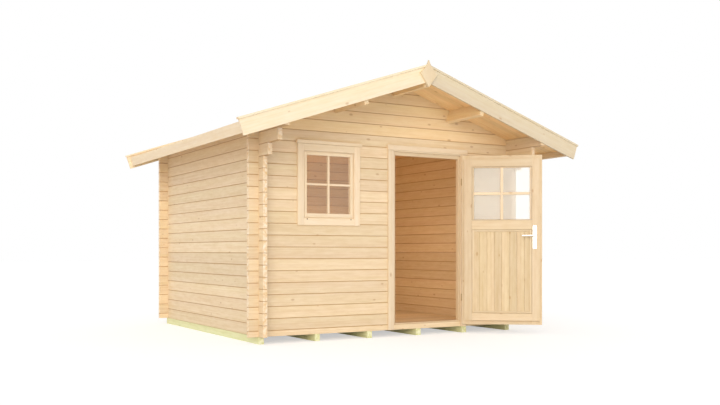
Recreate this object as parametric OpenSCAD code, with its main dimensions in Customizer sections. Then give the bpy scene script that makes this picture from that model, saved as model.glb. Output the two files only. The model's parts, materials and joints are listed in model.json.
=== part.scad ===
// Garden house of interlocking logs with a gable roof, one window and one door.
// Drawn with x = 0 on the ridge line, y = 0 on the front wall's outer face and
// z = 0 under the walls; place() then moves the origin to the middle of the base.

/* [Walls] */
// Width over the side walls' outer faces
wall_w = 3050; // [2900:10:3600]
// Depth over the front and back walls' outer faces
wall_d = 2780; // [2300:10:3400]
// Cover height of one log
log_h = 114; // [110:1:118]
// Thickness of a log
log_t = 44; // [34:1:58]
// Rows of logs in a side wall
log_rows = 18; // [18:1:20]
// How far a log end stands past the wall that it crosses
stub = 102; // [70:1:140]
// Bevel along the edges of a log, which makes the V of each seam
log_bevel = 3; // [1:0.5:6]
// Gap left between logs and between pieces that butt
seam = 0.4; // [0.2:0.1:0.6]

/* [Corbels] */
// Reach in front of the wall of the second log under the roof
corbel_upper = 430; // [300:5:520]
// Reach in front of the wall of the third log under the roof
corbel_lower = 212; // [150:5:290]

/* [Base] */
// Width of a floor joist
joist_w = 56; // [40:1:80]
// Height of a joist
joist_h = 70; // [45:1:100]
// Thickness of the floor boards
floor_t = 19; // [16:1:28]
// Gap round the floor for the boards to swell
floor_gap = 8; // [4:1:15]

/* [Roof] */
// Pitch of the roof in degrees
roof_pitch = 18.6; // [15:0.1:20]
// Thickness of the roof boards
board_t = 20; // [16:1:28]
// Reach of the roof boards in front of the front wall
front_reach = 583; // [540:1:640]
// Reach of the roof boards behind the back wall
back_reach = 153; // [140:1:400]
// Level reach of the roof boards past a side wall's outer face
eave_reach = 380; // [250:1:450]
// Depth of the ridge purlin's side
ridge_h = 131; // [100:1:150]
// Depth of a middle purlin
purlin_h = 130; // [90:1:140]
// Thickness of every purlin
purlin_t = 44; // [34:1:60]
// Distance from the ridge to a middle purlin's inner face, along the slope
purlin_at = 735; // [600:5:850]

/* [Roof trim] */
// Thickness of a barge board
barge_t = 22; // [16:1:28]
// Height of a barge board
barge_h = 147; // [115:1:160]
// Rise of a barge board's top edge over the roof boards' underside
barge_rise = 57; // [45:1:65]
// Reach of a barge board past the fascia
barge_past = 32; // [10:1:50]
// Thickness of the strip on a barge board
strip_t = 19; // [12:1:25]
// Width of that strip
strip_w = 45; // [40:1:110]
// Reach of the strip past the barge board, at its foot
strip_past = 6; // [5:1:30]
// Reach of the strip over the barge board's outer face
strip_lip = 10; // [2:1:18]
// Thickness of an eave fascia
fascia_t = 20; // [16:1:26]
// Height of an eave fascia
fascia_h = 102; // [70:1:120]
// Rise of a fascia's top edge over the roof boards
fascia_rise = 18; // [0:1:20]
// Thickness of the ridge plate
plate_t = 22; // [20:1:28]
// Width of the ridge plate
plate_w = 200; // [150:1:240]
// Height of the ridge plate's ogee point over its corners
plate_up = 131; // [110:1:150]
// Depth of the ridge plate's lower point under its corners
plate_down = 133; // [110:1:150]
// Drop of the ridge plate's corners under the roof boards' apex
plate_drop = 13; // [0:1:25]
// Hollow of the ridge plate's upper sides
plate_hollow = 14; // [5:1:20]

/* [Window] */
// Centre of the window, from the ridge line
window_x = -772; // [-850:1:-700]
// Width over the window's outer casing
window_w = 699; // [600:1:740]
// Row of logs under the window's wall opening
window_row = 9; // [8:1:10]
// Rows of logs that the window's wall opening takes
window_rows = 7; // [6:1:7]
// Width of a casing board, at window and door
casing_w = 68; // [55:1:80]
// Thickness of the window's casing boards
casing_t = 20; // [15:1:25]
// How far the wall opening reaches behind the casing
casing_lap = 28; // [20:1:40]
// Height of the frame's sill behind the casing
window_sill_h = 63; // [56:1:70]
// Height of the frame's head behind the casing
window_head_h = 94; // [88:1:100]
// Part of a casing board that leaves the frame showing beside the sash
window_reveal = 9; // [4:1:14]
// Width of the sash's stiles and upper rail
sash_w = 29; // [26:1:50]
// Height of the sash's lower rail
sash_foot = 40; // [26:1:55]
// Depth of the sash
sash_t = 40; // [30:1:44]
// How far the sash stands in front of the wall's face
sash_proud = 5; // [0:1:12]
// Height of the drip board over the window
drip_h = 34; // [25:1:42]
// Depth of the drip board
drip_t = 40; // [30:1:60]
// Reach of the drip board past the casing at each side
drip_past = 15; // [5:1:30]
// Thickness of the glass
glass_t = 4; // [3:1:6]

/* [Door] */
// Centre of the door, from the ridge line
door_x = 414; // [330:1:450]
// Clear width between the jambs
door_w = 812; // [720:1:840]
// Rows of logs that the door's wall opening takes
door_rows = 16; // [16:1:17]
// Thickness of a jamb
jamb_t = 40; // [30:1:50]
// Height of the frame's head
head_h = 73; // [60:1:80]
// Thickness of the sill board
sill_t = 10; // [8:1:20]
// Thickness of the door's casing boards
door_casing_t = 22; // [20:1:26]
// Height of the head casing under the trim
head_casing_h = 10; // [8:1:24]
// Height of the trim over the door
trim_h = 55; // [45:1:70]
// Thickness of the trim over the door
trim_t = 30; // [26:1:40]
// Reach of the trim past the casing at each side
trim_past = 11; // [4:1:20]
// Angle at which the door stands open
door_open = 141; // [120:1:145]

/* [Door leaf] */
// Thickness of the leaf's outer lip
lip_t = 17; // [14:1:20]
// Overlap of the lip on the frame
lip_lap = 18; // [14:1:22]
// Overlap of the lip on the sill
lip_lap_sill = 38; // [16:1:45]
// Overlap of the lip on the head
lip_lap_head = 32; // [16:1:40]
// Thickness of the leaf behind its lip
leaf_t = 28; // [24:1:34]
// Running gap round the leaf
leaf_gap = 7; // [6:0.5:9]
// Gap between the lip and the frame behind it
lip_back = 6; // [5:0.5:8]
// Width of a stile, on the room side
stile_w = 82; // [70:1:95]
// Height of the top rail, on the room side
top_rail_h = 82; // [70:1:95]
// Height of the bottom rail, on the room side
bottom_rail_h = 76; // [65:1:120]
// Height of the middle rail
mid_rail_h = 100; // [80:1:120]
// Height of the middle rail's centre over the wall base
mid_rail_z = 1095; // [1000:5:1150]
// Thickness of the lower panel
panel_t = 20; // [14:1:24]

/* [Hinges and handle] */
// Heights of the hinges over the wall base
hinge_z = [317, 1560]; // [100:1:1700]
// Radius of a hinge knuckle
knuckle_r = 6; // [5:0.5:7]
// Radius of a hinge pin
pin_r = 4; // [3:0.5:4]
// Running clearance between pin and knuckle
pin_gap = 0.05; // [0.03:0.01:0.08]
// Height of one hinge, both knuckles
hinge_h = 64; // [50:2:80]
// Thickness of a hinge flap
flap_t = 2.5; // [2:0.5:4]
// Distance from the pin's axis to where a flap leaves the knuckle
flap_from = 2; // [1:0.5:3]
// Width of a hinge flap
flap_w = 30; // [24:1:36]
// Height of the lever's spindle over the wall base
lever_z = 980; // [950:1:1010]
// Length of the lever
lever_l = 145; // [110:1:160]
// Radius of the lever's bar
lever_r = 8; // [7:0.5:10]
// Radius of the spindle that joins the levers
spindle_r = 5; // [4:0.5:6]
// Distance of the lever's bar from the leaf
lever_out = 46; // [38:1:55]
// Distance of the spindle from the leaf's edge
lock_in = 54; // [40:1:58]
// Width of a lock plate
lock_w = 44; // [36:1:50]
// Height of a lock plate
lock_h = 250; // [200:1:270]
// Height of the spindle over the middle of the lock plate
lock_up = 17; // [0:1:40]
// Thickness of a lock plate
lock_t = 6; // [4:1:9]

/* [Hidden] */
$fn = 48;
JOISTS = 6;

// Colours
PINE = [0.93, 0.83, 0.68];
PINE_SIDE = [0.89, 0.80, 0.66];
PINE_WARM = [0.80, 0.63, 0.42];
TRIM_PINE = [0.95, 0.89, 0.77];
GREEN_PINE = [0.86, 0.89, 0.66];
GLASS = [0.75, 0.80, 0.80, 0.5];
STEEL = [0.86, 0.86, 0.85];
DARK_STEEL = [0.35, 0.31, 0.25];

// Walls
far = 10 * wall_w;
half_w = wall_w / 2;
side_x = half_w - log_t / 2;
keep = log_h / 4;
wall_top = log_rows * log_h;
front_half = log_h / 2;
last_row = log_rows - 1;
log_end_x = half_w + stub;

// Roof: the boards' undersides meet at the apex, over the middle of the side walls' tops
apex_z = wall_top + side_x * tan(roof_pitch);
board_end = (half_w + eave_reach) / cos(roof_pitch);
barge_end = board_end + seam + fascia_t + barge_past;
barge_low = barge_rise - barge_h;
front_y = -front_reach;
back_y = wall_d + back_reach;
barge_front = front_y - barge_t;
barge_back = back_y + barge_t;
y_mid = (barge_front + barge_back) / 2;
roof_span = log_end_x + stub;
gable_rows = ceil(apex_z / log_h - 0.5);
ridge_bottom = apex_z - purlin_t / 2 * tan(roof_pitch) - ridge_h;

// Window
window_z0 = (window_row + 0.5) * log_h;
window_z1 = window_z0 + window_rows * log_h;
window_half = window_w / 2;
window_cut = window_half - casing_lap;
frame_in = window_half - casing_w - window_reveal;
frame_z0 = window_z0 + window_sill_h;
frame_z1 = window_z1 - window_head_h;
casing_z0 = frame_z0 - window_reveal - casing_w;
casing_z1 = frame_z1 + window_reveal + casing_w;
sash_half = frame_in - seam;
sash_z0 = frame_z0 + seam;
sash_z1 = frame_z1 - seam;

// Door, drawn closed
door_z0 = front_half;
door_z1 = front_half + door_rows * log_h;
door_cut = door_w / 2 + jamb_t;
clear_z0 = door_z0 + sill_t;
clear_z1 = door_z1 - head_h;
lip_half = door_w / 2 + lip_lap;
lip_z0 = clear_z0 - lip_lap_sill;
lip_z1 = clear_z1 + lip_lap_head;
leaf_half = door_w / 2 - leaf_gap;
leaf_z0 = clear_z0 + leaf_gap;
leaf_z1 = clear_z1 - leaf_gap;
lip_y0 = -lip_back - lip_t;
lip_y1 = -lip_back;
leaf_y1 = lip_y1 + leaf_t;
leaf_mid_y = (lip_y0 + leaf_y1) / 2;
casing_in = lip_half + leaf_gap;
stile_in = leaf_half - stile_w;
axis_x = door_x + lip_half + leaf_gap / 2;
axis_y = lip_y0 - knuckle_r - flap_t;
lock_x = door_x - leaf_half + lock_in;

// Moves the house so that the origin lies in the middle of its base, on the ground
module place() {
    translate([0, -y_mid, joist_h]) children();
}

// Turns the closed door about its hinge pins to where it stands open
module opened() {
    translate([axis_x, axis_y, 0]) rotate([0, 0, door_open])
        translate([-axis_x, -axis_y, 0]) children();
}

// A box between two corners
module box(low, high) {
    translate(low) cube(high - low);
}

// Section of a log, from z0 to z1, with bevelled edges
module log_section(z0, z1) {
    polygon([[log_bevel, z0], [log_t - log_bevel, z0], [log_t, z0 + log_bevel],
             [log_t, z1 - log_bevel], [log_t - log_bevel, z1], [log_bevel, z1],
             [0, z1 - log_bevel], [0, z0 + log_bevel]]);
}

// A log along x, with its outer face at y = 0
module log_x(x0, x1, z0, z1) {
    translate([x0, 0, 0]) rotate([90, 0, 90]) linear_extrude(x1 - x0) log_section(z0, z1);
}

// A log along y, with its face at x = 0
module log_y(y0, y1, z0, z1) {
    translate([0, y1, 0]) rotate([90, 0, 0]) linear_extrude(y1 - y0) log_section(z0, z1);
}

// What is cut from a log where another wall's log of thickness log_t crosses it
module crossing(x0, y0, z_mid) {
    for (z = [z_mid - log_h, z_mid + keep - seam / 2])
        translate([x0 - seam, y0 - seam, z])
            cube([log_t + 2 * seam, log_t + 2 * seam, log_h - keep + seam / 2]);
}

// One row of the front or back wall, drawn at y = 0; row 0 is the half log
module row_x(row, x0 = -log_end_x, x1 = log_end_x) {
    z_mid = row * log_h;
    difference() {
        log_x(x0, x1, max(0, z_mid - front_half) + seam / 2, z_mid + front_half - seam / 2);
        for (x = [-half_w, half_w - log_t]) crossing(x, 0, z_mid);
    }
}

// One row of a side wall, drawn at x = 0
module row_y(row, y0, y1, z1) {
    z_mid = (row + 0.5) * log_h;
    difference() {
        log_y(y0, y1, row * log_h + seam / 2, z1);
        for (y = [0, wall_d - log_t]) crossing(0, y, z_mid);
    }
}

// A slope of the roof: x runs down it from the apex, z stands off the boards' undersides
module slope(side) {
    mirror([side < 0 ? 1 : 0, 0, 0]) translate([0, 0, apex_z]) rotate([0, roof_pitch, 0]) children();
}

// A plank on one slope, cut upright at the ridge
module slope_plank(side, s1, y0, y1, n0, n1) {
    difference() {
        slope(side) box([-barge_h, y0, n0], [s1, y1, n1]);
        translate([side < 0 ? -seam / 2 : seam / 2 - 2 * far, -far, -far]) cube(2 * far);
    }
}

// The space under the roof boards
module under_roof() {
    top = apex_z - seam / cos(roof_pitch);
    eave = top - roof_span * tan(roof_pitch);
    translate([0, far, 0]) rotate([90, 0, 0]) linear_extrude(2 * far)
        polygon([[-roof_span, 0], [roof_span, 0], [roof_span, eave], [0, top], [-roof_span, eave]]);
}

// A middle purlin, square to its slope; grown widens it to the notch that holds it
module middle_purlin(side, grown = 0) {
    slope(side) box([purlin_at - grown, front_y + seam, -purlin_h - grown],
                    [purlin_at + purlin_t + grown, back_y - seam, grown - seam]);
}

// The ridge purlin, bevelled on top to both slopes
module ridge_beam(grown = 0) {
    intersection() {
        box([-purlin_t / 2 - grown, front_y + seam, ridge_bottom - grown],
            [purlin_t / 2 + grown, back_y - seam, apex_z + grown]);
        if (grown == 0) under_roof();
        else cube(2 * far, center = true);
    }
}

// A gable of logs, drawn at y = y0, notched for the purlins
module gable(y0) {
    difference() {
        intersection() {
            translate([0, y0, 0]) for (row = [log_rows : gable_rows]) row_x(row);
            under_roof();
        }
        ridge_beam(seam);
        for (side = [-1, 1]) middle_purlin(side, seam);
    }
}

// A side wall with its left face at x0: its three top logs step forward under the roof
module side_logs(x0) {
    function reach(row) = row == last_row - 1 ? corbel_upper : row == last_row - 2 ? corbel_lower : stub;
    translate([x0, 0, 0]) for (row = [0 : last_row - 1])
        row_y(row, -reach(row), wall_d + stub, (row + 1) * log_h - seam / 2);
    intersection() {
        translate([x0, 0, 0]) row_y(last_row, front_y + seam, back_y - seam, wall_top + log_h);
        under_roof();
    }
}

// The ogee outline of a ridge plate, with its corners on y = 0
module plate_outline(grown = 0) {
    half = plate_w / 2;
    chord = sqrt(half * half + plate_up * plate_up);
    bow_r = chord * chord / (8 * plate_hollow) + plate_hollow / 2;
    out = bow_r - plate_hollow;
    difference() {
        polygon([[0, -plate_down - grown], [half + grown, 0], [0, plate_up + grown], [-half - grown, 0]]);
        for (side = [-1, 1])
            translate([side * (half / 2 + out * plate_up / chord), plate_up / 2 + out * half / chord])
                circle(bow_r - grown, $fn = 96);
    }
}

// A ridge plate with its front face at y0
module ridge_plate(y0, grown = 0) {
    translate([0, y0 + plate_t + grown, apex_z - plate_drop]) rotate([90, 0, 0])
        linear_extrude(plate_t + 2 * grown) plate_outline(grown);
}

// Four bars round an opening: two uprights between a head and a sill
module ring(x_in, x_out, z_in0, z_out0, z_in1, z_out1, y0, y1) {
    for (side = [-1, 1])
        box([side < 0 ? -x_out : x_in, y0, z_in0 + seam], [side < 0 ? -x_in : x_out, y1, z_in1 - seam]);
    box([-x_out, y0, z_out0], [x_out, y1, z_in0]);
    box([-x_out, y0, z_in1], [x_out, y1, z_out1]);
}

// Base
module joist(index) {
    x = -half_w + index * (wall_w - joist_w) / (JOISTS - 1);
    color(GREEN_PINE) place() box([x, 0, -joist_h], [x + joist_w, wall_d, 0]);
}

module floor_boards() {
    inset = log_t + floor_gap;
    color(PINE_WARM) place()
        box([-half_w + inset, inset, seam / 2], [half_w - inset, wall_d - inset, floor_t]);
}

// Walls
module left_wall() {
    color(PINE_SIDE) place() side_logs(-half_w);
}

module right_wall() {
    color(PINE_SIDE) place() side_logs(half_w - log_t);
}

module back_wall() {
    color(PINE) place() translate([0, wall_d - log_t, 0]) for (row = [0 : last_row]) row_x(row);
}

module front_sill_log() {
    color(PINE) place() row_x(0);
}

module front_wall_low() {
    color(PINE) place() for (row = [1 : window_row]) row_x(row, x1 = door_x - door_cut - seam);
}

module front_wall_window_left() {
    color(PINE) place() for (row = [window_row + 1 : window_row + window_rows])
        row_x(row, x1 = window_x - window_cut - seam);
}

module front_wall_window_right() {
    color(PINE) place() for (row = [window_row + 1 : window_row + window_rows])
        row_x(row, x0 = window_x + window_cut + seam, x1 = door_x - door_cut - seam);
}

module front_wall_right() {
    color(PINE) place() for (row = [1 : door_rows]) row_x(row, x0 = door_x + door_cut + seam);
}

module front_wall_top() {
    color(PINE) place() for (row = [door_rows + 1 : last_row]) row_x(row);
}

module front_gable() {
    color(PINE_WARM) place() gable(0);
}

module back_gable() {
    color(PINE_WARM) place() gable(wall_d - log_t);
}

// Roof
module ridge_purlin() {
    color(PINE_WARM) place() ridge_beam();
}

module left_purlin() {
    color(PINE_WARM) place() middle_purlin(-1);
}

module right_purlin() {
    color(PINE_WARM) place() middle_purlin(1);
}

module roof_side(side) {
    color(PINE_WARM) place() slope_plank(side, board_end, front_y + seam, back_y - seam, 0, board_t);
}

module barges(y0) {
    color(TRIM_PINE) place() for (side = [-1, 1])
        slope_plank(side, barge_end, y0, y0 + barge_t, barge_low, barge_rise);
}

module cover_strips(y0, plate_y) {
    color(TRIM_PINE) place() difference() {
        for (side = [-1, 1])
            slope_plank(side, barge_end + strip_past, y0, y0 + strip_w,
                        barge_rise + seam, barge_rise + strip_t);
        ridge_plate(plate_y, seam);
    }
}

module fascia(side) {
    color(TRIM_PINE) place() slope(side)
        box([board_end + seam, front_y + seam, board_t + fascia_rise - fascia_h],
            [board_end + seam + fascia_t, back_y - seam, board_t + fascia_rise]);
}

module ridge_plate_at(y0) {
    color(TRIM_PINE) place() ridge_plate(y0);
}

// Window
module window_casing() {
    out = window_half + drip_past;
    color(TRIM_PINE) place() translate([window_x, 0, 0]) {
        ring(window_half - casing_w, window_half, casing_z0 + casing_w, casing_z0, casing_z1 - casing_w,
             casing_z1, -casing_t, -seam / 2);
        box([-out, -drip_t, casing_z1 + seam], [out, -seam / 2, casing_z1 + drip_h]);
    }
}

module window_frame() {
    color(PINE) place() translate([window_x, 0, 0])
        ring(frame_in, window_cut, frame_z0, window_z0 + seam, frame_z1, window_z1 - seam, 0, log_t);
}

module window_sash() {
    color(PINE) place() translate([window_x, 0, 0])
        ring(sash_half - sash_w, sash_half, sash_z0 + sash_foot, sash_z0, sash_z1 - sash_w, sash_z1,
             -sash_proud, sash_t - sash_proud);
}

module window_glass() {
    x = sash_half - sash_w - seam;
    y = sash_t / 2 - sash_proud - glass_t / 2;
    color(GLASS) place() translate([window_x, 0, 0])
        box([-x, y, sash_z0 + sash_foot + seam], [x, y + glass_t, sash_z1 - sash_w - seam]);
}

// Door frame
module door_frame() {
    color(PINE) place() translate([door_x, 0, 0])
        ring(door_w / 2, door_cut, clear_z0, door_z0 + seam, clear_z1, door_z1 - seam, 0, log_t);
}

module door_casing() {
    out = casing_in + casing_w;
    head_z = lip_z1 + leaf_gap;
    trim_z = head_z + head_casing_h;
    color(TRIM_PINE) place() translate([door_x, 0, 0]) {
        for (side = [-1, 1])
            box([side < 0 ? -out : casing_in, -door_casing_t, seam],
                [side < 0 ? -casing_in : out, -seam / 2, trim_z]);
        box([-casing_in + seam, -door_casing_t, head_z], [casing_in - seam, -seam / 2, trim_z]);
        box([-out - trim_past, -trim_t, trim_z + seam], [out + trim_past, -seam / 2, trim_z + trim_h]);
    }
}

// Hinges: the frame's lower knuckle carries the pin, the door's upper knuckle turns on it
module frame_hinges() {
    face = -door_casing_t;
    color(DARK_STEEL) place() for (z = hinge_z) translate([axis_x, 0, z - hinge_h / 2]) {
        translate([0, axis_y, 0]) {
            cylinder(r = knuckle_r, h = hinge_h / 2 - seam);
            cylinder(r = pin_r, h = hinge_h - 2 * seam);
        }
        box([flap_from, axis_y, 0], [knuckle_r + flap_t, face - seam, hinge_h / 2 - seam]);
        box([flap_from, face - flap_t - seam, 0],
            [knuckle_r + flap_w, face - seam, hinge_h / 2 - seam]);
    }
}

module door_hinges() {
    color(DARK_STEEL) place() opened() for (z = hinge_z) translate([axis_x, 0, z]) difference() {
        union() {
            translate([0, axis_y, 0]) cylinder(r = knuckle_r, h = hinge_h / 2);
            box([-knuckle_r - flap_t, axis_y, 0], [-flap_from, lip_y0 - seam, hinge_h / 2]);
            box([-knuckle_r - flap_w, lip_y0 - flap_t - seam, 0],
                [-flap_from, lip_y0 - seam, hinge_h / 2]);
        }
        translate([0, axis_y, -seam]) cylinder(r = pin_r + pin_gap, h = hinge_h / 2);
    }
}

// Door leaf
module door_stiles() {
    color(PINE) place() opened() difference() {
        translate([door_x, 0, 0]) for (side = [-1, 1]) {
            box([side < 0 ? -lip_half : stile_in, lip_y0, lip_z0],
                [side < 0 ? -stile_in : lip_half, lip_y1, lip_z1]);
            box([side < 0 ? -leaf_half : stile_in, lip_y1, leaf_z0],
                [side < 0 ? -stile_in : leaf_half, leaf_y1, leaf_z1]);
        }
        spindle(pin_gap);
    }
}

module door_rails() {
    x = stile_in - seam;
    color(PINE) place() opened() translate([door_x, 0, 0]) {
        box([-x, lip_y0, lip_z0], [x, lip_y1, leaf_z0 + bottom_rail_h]);
        box([-x, lip_y1, leaf_z0], [x, leaf_y1, leaf_z0 + bottom_rail_h]);
        box([-x, lip_y0, leaf_z1 - top_rail_h], [x, lip_y1, lip_z1]);
        box([-x, lip_y1, leaf_z1 - top_rail_h], [x, leaf_y1, leaf_z1]);
        box([-x, lip_y0, mid_rail_z - mid_rail_h / 2], [x, leaf_y1, mid_rail_z + mid_rail_h / 2]);
    }
}

module door_panel() {
    x = stile_in - seam;
    color(PINE) place() opened() translate([door_x, leaf_mid_y, 0])
        box([-x, -panel_t / 2, leaf_z0 + bottom_rail_h + seam],
            [x, panel_t / 2, mid_rail_z - mid_rail_h / 2 - seam]);
}

module door_glass() {
    x = stile_in - seam;
    color(GLASS) place() opened() translate([door_x, leaf_mid_y, 0])
        box([-x, -glass_t / 2, mid_rail_z + mid_rail_h / 2 + seam],
            [x, glass_t / 2, leaf_z1 - top_rail_h - seam]);
}

// Handle: one spindle through the leaf, with a lever on each side
module spindle(grown = 0) {
    translate([lock_x, lip_y0 - lever_out, lever_z]) rotate([-90, 0, 0])
        cylinder(r = spindle_r + grown, h = leaf_y1 - lip_y0 + 2 * lever_out);
}

module lock_plates() {
    z0 = lever_z - lock_up - lock_h / 2;
    color(STEEL) place() opened() for (y = [lip_y0 - lock_t - seam / 2, leaf_y1 + seam / 2]) difference() {
        box([lock_x - lock_w / 2, y, z0], [lock_x + lock_w / 2, y + lock_t, z0 + lock_h]);
        spindle(pin_gap);
    }
}

module lever(side) {
    neck = lock_t + seam;
    translate([lock_x, side < 0 ? lip_y0 : leaf_y1, lever_z]) rotate([0, 0, side < 0 ? 180 : 0])
        mirror([side < 0 ? 1 : 0, 0, 0]) {
            translate([0, neck, 0]) rotate([-90, 0, 0]) cylinder(r = lever_r, h = lever_out - neck);
            translate([0, lever_out, 0]) sphere(lever_r);
            translate([0, lever_out, 0]) rotate([0, 90, 0]) cylinder(r = lever_r, h = lever_l - lever_r);
            translate([lever_l - lever_r, lever_out, 0]) sphere(lever_r);
        }
}

module lever_handle() {
    color(STEEL) place() opened() {
        spindle();
        lever(-1);
        lever(1);
    }
}

for (index = [0 : JOISTS - 1]) joist(index);
floor_boards();  // floor
left_wall();
right_wall();
back_wall();
front_sill_log();
front_wall_low();
front_wall_window_left();
front_wall_window_right();
front_wall_right();
front_wall_top();
front_gable();
back_gable();
ridge_purlin();
left_purlin();
right_purlin();
roof_side(-1);  // roof_left
roof_side(1);  // roof_right
barges(barge_front);  // front_barges
barges(back_y);  // back_barges
cover_strips(barge_front - strip_lip, barge_front - plate_t - seam);  // front_cover_strips
cover_strips(barge_back + strip_lip - strip_w, barge_back + seam);  // back_cover_strips
fascia(-1);  // left_fascia
fascia(1);  // right_fascia
ridge_plate_at(barge_front - plate_t - seam);  // front_ridge_plate
ridge_plate_at(barge_back + seam);  // back_ridge_plate
window_casing();
window_frame();
window_sash();
window_glass();
door_frame();
door_casing();
frame_hinges();
door_stiles();
door_rails();
door_panel();
door_glass();
door_hinges();
lock_plates();
lever_handle();
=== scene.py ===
"""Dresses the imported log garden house: boards, glazing, door furniture, timber finishes, stage and camera."""

import json
import logging
import math
import random
from collections.abc import Callable
from dataclasses import dataclass, field
from enum import Enum

import bpy
from mathutils import Matrix, Vector

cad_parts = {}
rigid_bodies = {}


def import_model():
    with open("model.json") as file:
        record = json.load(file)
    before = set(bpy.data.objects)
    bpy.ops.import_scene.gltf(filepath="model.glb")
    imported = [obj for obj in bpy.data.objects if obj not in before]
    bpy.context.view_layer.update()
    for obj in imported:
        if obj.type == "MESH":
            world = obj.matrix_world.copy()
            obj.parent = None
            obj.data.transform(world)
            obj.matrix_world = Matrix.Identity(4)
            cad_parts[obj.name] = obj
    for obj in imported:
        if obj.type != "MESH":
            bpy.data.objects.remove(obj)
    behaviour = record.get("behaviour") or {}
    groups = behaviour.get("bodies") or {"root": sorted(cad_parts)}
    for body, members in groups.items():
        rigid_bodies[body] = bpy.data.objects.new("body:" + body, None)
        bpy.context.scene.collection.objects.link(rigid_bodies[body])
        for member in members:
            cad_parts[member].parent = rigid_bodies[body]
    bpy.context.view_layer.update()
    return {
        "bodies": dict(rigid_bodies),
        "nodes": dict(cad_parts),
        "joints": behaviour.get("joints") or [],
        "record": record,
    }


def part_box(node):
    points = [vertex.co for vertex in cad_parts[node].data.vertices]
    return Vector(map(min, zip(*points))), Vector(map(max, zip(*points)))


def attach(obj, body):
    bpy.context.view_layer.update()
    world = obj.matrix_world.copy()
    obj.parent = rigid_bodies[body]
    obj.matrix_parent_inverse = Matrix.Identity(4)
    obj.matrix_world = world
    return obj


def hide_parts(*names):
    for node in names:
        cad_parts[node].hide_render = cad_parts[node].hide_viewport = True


LOG = logging.getLogger("garden_house")
MM = 0.001
# Joint left between two pieces, and place of a board's back off the wall, in millimetres
SEAM = 0.4
OFF_WALL = -0.2
# Faces of a wall log, middle of the doorway and height of a log's row, in millimetres; the roof's slope
LOG_Y = (0.0, 44.0)
DOOR_X = 414.0
ROW_MM = 114.0
SLOPE_DEG = 18.6
# How near to a plane an edge counts as lying in it, and how straight it runs along an axis
HAIR = 0.1 * MM
STRAIGHT = 0.9
# Ring spacing of the wave texture at a scale of one
WAVE_RING = math.tau / 20
WHITE = "#ffffff"

Pair = tuple[float, float]
Triple = tuple[float, float, float]
Tree = bpy.types.NodeTree
Socket = bpy.types.NodeSocket
Piece = bpy.types.Object
Choice = Callable[[Vector, Vector], bool]


class Grain(Enum):
    """Way in which the fibres of a timber run."""

    X = "along the front"
    Y = "from front to back"
    Z = "upright"
    SLOPE = "down the roof's slope, on both sides of the ridge"
    BOARD = "as marked on each modelled board"


def linear(colour: str) -> tuple[float, float, float, float]:
    """Turns an sRGB hex colour into a linear one.

    Args:
        colour: six hex digits after a hash sign.

    Returns:
        Red, green, blue and alpha.
    """
    parts = [int(colour[i : i + 2], 16) / 255 for i in (1, 3, 5)]
    red, green, blue = (p / 12.92 if p <= 0.04045 else ((p + 0.055) / 1.055) ** 2.4 for p in parts)
    return red, green, blue, 1.0


def put(
    tree: Tree, kind: str, feeds: dict[str | int, object] | None = None, **settings: object
) -> bpy.types.Node:
    """Adds a node with its settings and its inputs, which are links or plain values.

    Args:
        tree: node tree that gets the node.
        kind: the node's type without its common prefix.
        feeds: inputs by name or index; an output socket is linked, another value is set.
        settings: properties of the node.

    Returns:
        The new node.
    """
    node = tree.nodes.new("ShaderNode" + kind)
    for key, value in settings.items():
        setattr(node, key, value)
    for key, value in (feeds or {}).items():
        if isinstance(value, Socket):
            tree.links.new(value, node.inputs[key])
        else:
            node.inputs[key].default_value = value
    return node


def calc(tree: Tree, operation: str, *feeds: object) -> Socket:
    """Works out a number from links or plain values."""
    return put(tree, "Math", dict(enumerate(feeds)), operation=operation).outputs[0]


def calc_vector(tree: Tree, operation: str, *feeds: object) -> Socket:
    """Works out a vector from links or plain values."""
    return put(tree, "VectorMath", dict(enumerate(feeds)), operation=operation).outputs[0]


def remap(tree: Tree, value: Socket, span: Pair = (0.0, 1.0), to: Pair = (0.0, 1.0)) -> Socket:
    """Stretches a span of a number over another span and holds it at the ends."""
    feeds = {"Value": value, "From Min": span[0], "From Max": span[1], "To Min": to[0], "To Max": to[1]}
    return put(tree, "MapRange", feeds).outputs[0]


def blend(tree: Tree, share: Socket, under: object, over: object) -> Socket:
    """Lays one colour over another by a share."""
    return put(tree, "Mix", {0: share, 6: under, 7: over}, data_type="RGBA").outputs[2]


def noise(tree: Tree, place: Socket, scale: float, detail: float, rough: float = 0.5) -> Socket:
    """Draws soft noise."""
    feeds = {"Vector": place, "Scale": scale, "Detail": detail, "Roughness": rough}
    return put(tree, "TexNoise", feeds).outputs[0]


def blank(name: str) -> tuple[bpy.types.Material, Tree, bpy.types.Node]:
    """Opens a new material and gives it with its node tree and its shader."""
    material = bpy.data.materials.new(name)
    material.use_nodes = True
    return material, material.node_tree, material.node_tree.nodes["Principled BSDF"]


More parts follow.
